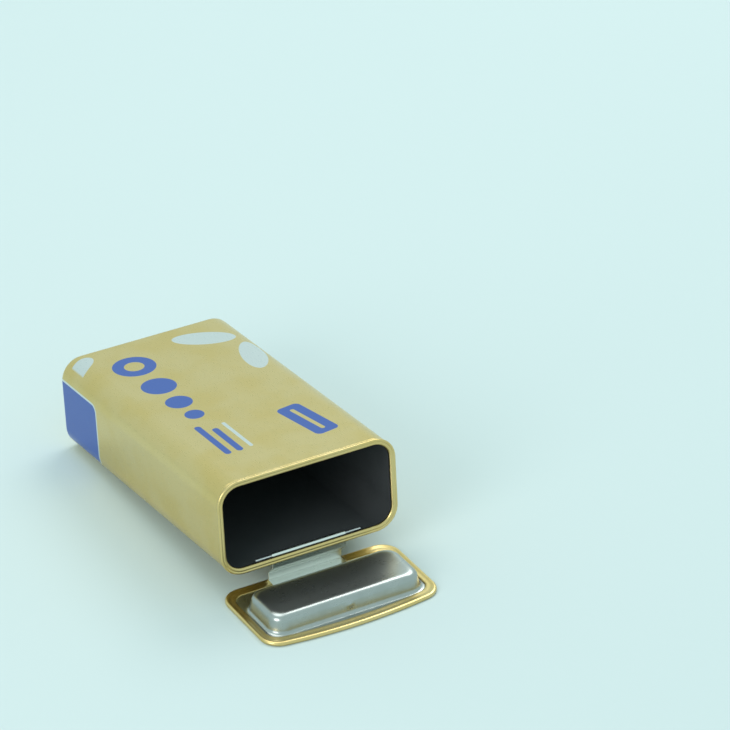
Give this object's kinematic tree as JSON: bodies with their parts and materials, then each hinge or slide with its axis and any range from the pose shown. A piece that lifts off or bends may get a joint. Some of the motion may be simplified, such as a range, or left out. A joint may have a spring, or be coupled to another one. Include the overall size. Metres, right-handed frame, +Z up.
{
  "type": "mint tin",
  "caption": "Small upright flip-top mint tin lying on its rear wall, its plug lid open on a tongue that curls round a wire pin inside a slot.",
  "frame": {"origin": "middle of the overall box at rest, on the surface that the tin and its open lid lie on", "axes": "+X across the tin, -Y the way the mouth faces, with the base towards +Y, +Z up"},
  "size_m": [0.0454, 0.1024, 0.0298],
  "materials": {
    "gold_lacquer": "satin gold lacquer on tinplate, with printed fields of blue and silver",
    "bare_tinplate": "bare tinplate, soft sheen",
    "pin_wire": "drawn steel wire"
  },
  "bodies": {
    "tin": {"tin_body": "gold_lacquer"},
    "pin": {"hinge_pin": "pin_wire"},
    "lid": {"lid_cover": "gold_lacquer", "lid_plug": "bare_tinplate"}
  },
  "joints": [
    {"name": "pin_slide", "type": "slide", "parent": "tin", "child": "pin", "axis": [0, -0.996, 0.0896], "range_m": [-0.00505, 0]},
    {"name": "lid_hinge", "type": "hinge", "parent": "pin", "child": "lid", "pos_m": [0, -0.0274, 0.00788], "axis": [1, 0, 0], "range_deg": [-95.14, 0]}
  ],
  "couplings": [
    {"joint": "pin_slide", "follows": "lid_hinge", "m_per_rad": 0.0030412}
  ]
}
